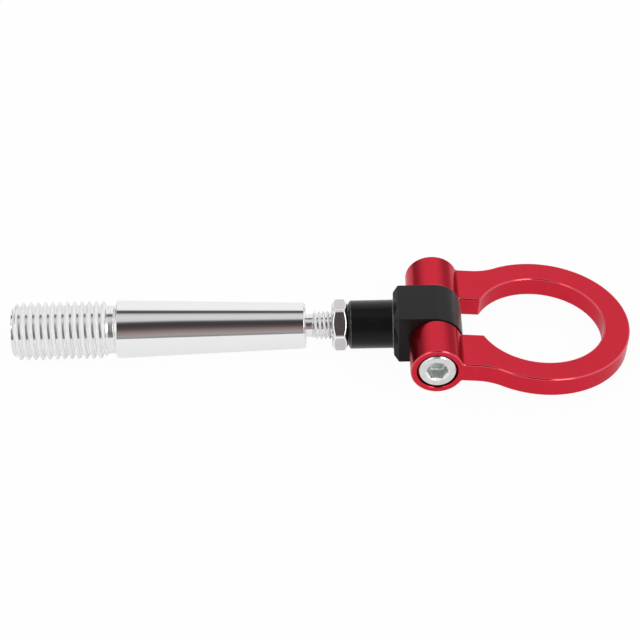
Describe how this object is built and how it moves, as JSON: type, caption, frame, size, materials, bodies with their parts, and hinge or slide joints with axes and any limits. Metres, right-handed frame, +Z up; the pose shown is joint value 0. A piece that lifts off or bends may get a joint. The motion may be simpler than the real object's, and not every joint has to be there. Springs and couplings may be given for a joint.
{
  "type": "screw-in tow hook",
  "caption": "Tapered tow hook shank that screws into a vehicle's towing socket, with a lock nut, a black knuckle and a flat red ring that folds on a cross screw.",
  "frame": {"origin": "centre of the flat end of the shank's thread", "axes": "+X along the shank from the thread to the ring, +Z up as the hook lies on a table with its ring flat, +Y along the hinge away from the screw's head"},
  "size_m": [0.2114, 0.0616, 0.0198],
  "materials": {
    "shaft": "polished, bright turned threads",
    "nut": "satin stainless",
    "knuckle": "satin black anodised",
    "ring": "satin red anodised",
    "screw": "bright zinc plated"
  },
  "bodies": {
    "shank": {"tow_shaft": "shaft", "lock_nut": "nut", "knuckle_block": "knuckle"},
    "ring": {"tow_ring": "ring", "pivot_bolt": "screw"}
  },
  "joints": [
    {"name": "ring_fold", "type": "hinge", "parent": "shank", "child": "ring", "pos_m": [0.1444, 0, 0], "axis": [0, 1, 0], "range_deg": [-172, 162]}
  ]
}
